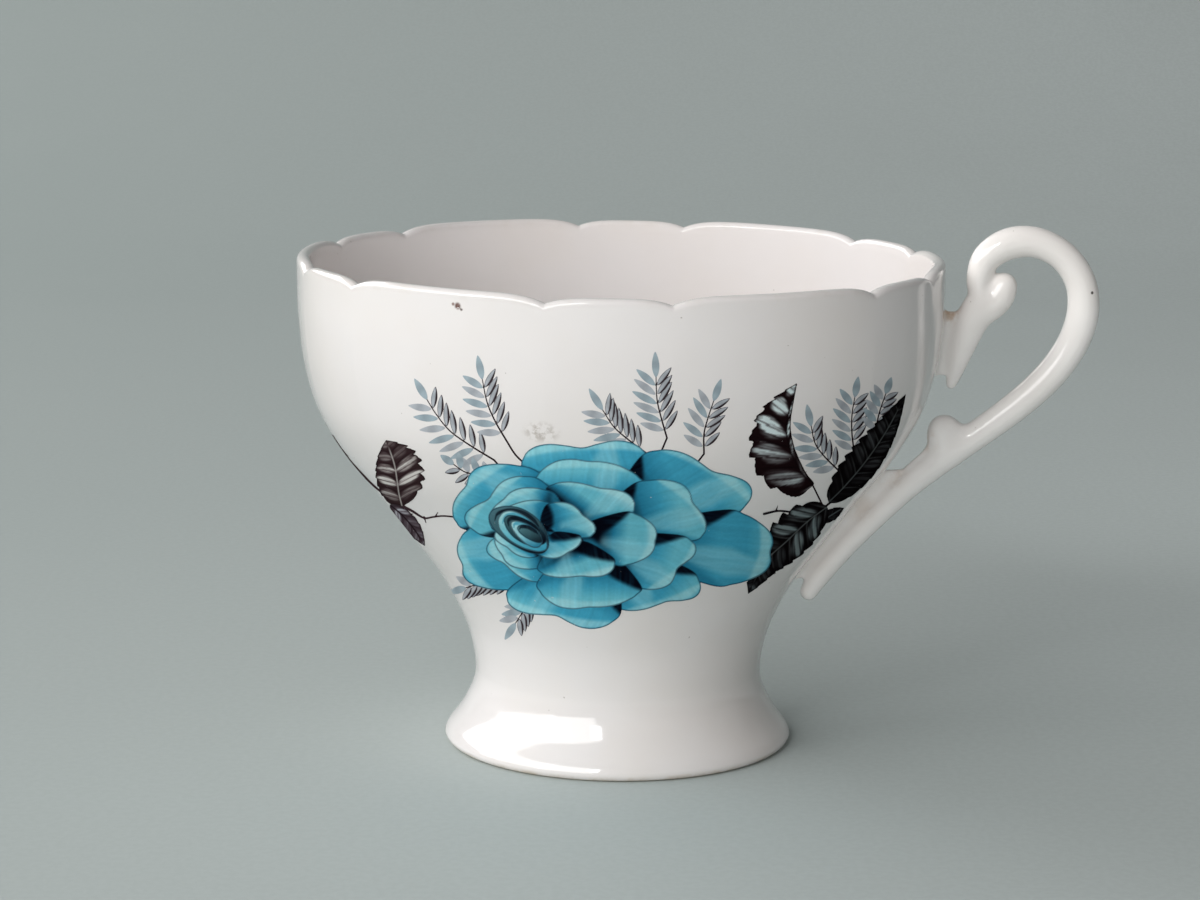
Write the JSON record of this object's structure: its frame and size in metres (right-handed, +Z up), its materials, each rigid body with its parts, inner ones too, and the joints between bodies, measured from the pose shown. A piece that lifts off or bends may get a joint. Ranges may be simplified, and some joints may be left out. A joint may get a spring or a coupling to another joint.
{
  "type": "teacup",
  "caption": "Footed teacup with a lobed rim, a flaring waisted bowl, a hollow pedestal foot and a scroll handle with a thumb rest, for holding and drinking hot tea.",
  "frame": {"origin": "on the cup's axis, at the height of the ground contact ring that the cup stands on", "axes": "+Z up along the cup's axis, +X from the axis towards the handle, +Y to the drinker's far side with the handle on the right"},
  "size_m": [0.1117, 0.09, 0.0735],
  "materials": {
    "bowl_glaze": "glossy clear glaze over white bone china, with a printed floral transfer",
    "foot_glaze": "glossy clear glaze over white bone china, bare ground ring underneath",
    "handle_glaze": "glossy clear glaze over white bone china"
  },
  "bodies": {
    "root": {"bowl": "bowl_glaze", "foot": "foot_glaze", "handle": "handle_glaze"}
  },
  "joints": []
}
